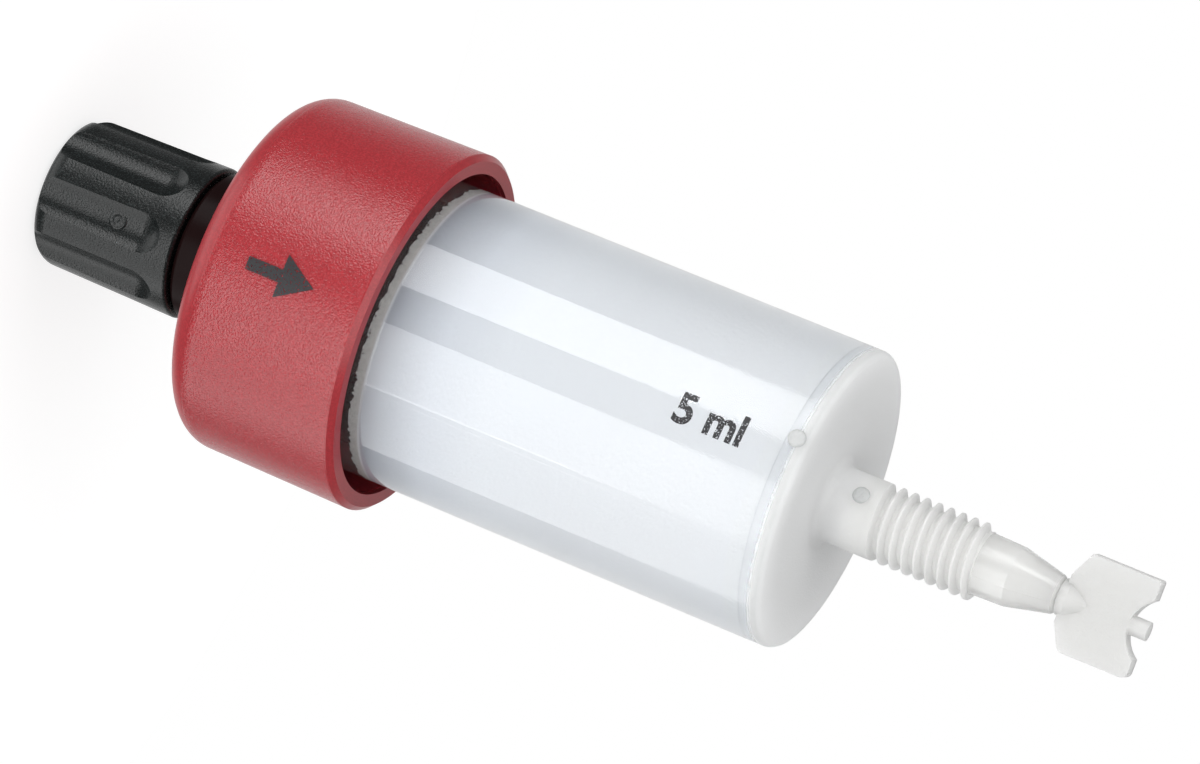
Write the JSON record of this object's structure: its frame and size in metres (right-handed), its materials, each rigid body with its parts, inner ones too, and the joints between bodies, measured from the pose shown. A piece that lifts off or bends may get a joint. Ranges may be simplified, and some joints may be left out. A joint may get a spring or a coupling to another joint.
{
  "type": "affinity chromatography column",
  "caption": "Prepacked affinity chromatography column: clear cylindrical barrel with a screw outlet and snap-off tab, closed by a lid, a cap ring and a fluted inlet plug.",
  "frame": {"origin": "centre of the stop plug's flat foot, on which the column stands", "axes": "+Z along the column's axis from the plug's foot to the snap-off tab; -Y is the side that the picture shows, which the tab's plate faces; +X completes the frame"},
  "size_m": [0.0234, 0.0234, 0.0745],
  "materials": {
    "clear_polypropylene": "clear natural polypropylene, polished barrel, frosted outlet and tab",
    "porous_polyethylene": "sintered porous polyethylene, white",
    "resin_slurry": "settled white gel beads, wet",
    "dark_polypropylene": "glossy brown-black moulded polypropylene",
    "red_polypropylene": "muted red moulded polypropylene, finely textured",
    "grey_polypropylene": "dark grey moulded polypropylene, spark-textured"
  },
  "bodies": {
    "column": {"barrel": "clear_polypropylene", "bottom_frit": "porous_polyethylene", "resin_bed": "resin_slurry", "top_frit": "porous_polyethylene", "lid": "dark_polypropylene", "cap": "red_polypropylene"},
    "plug": {"stop_plug": "grey_polypropylene"}
  },
  "joints": [
    {"name": "plug_removal", "type": "slide", "parent": "column", "child": "plug", "axis": [0, 0, -1], "range_m": [0, 0.012]}
  ]
}
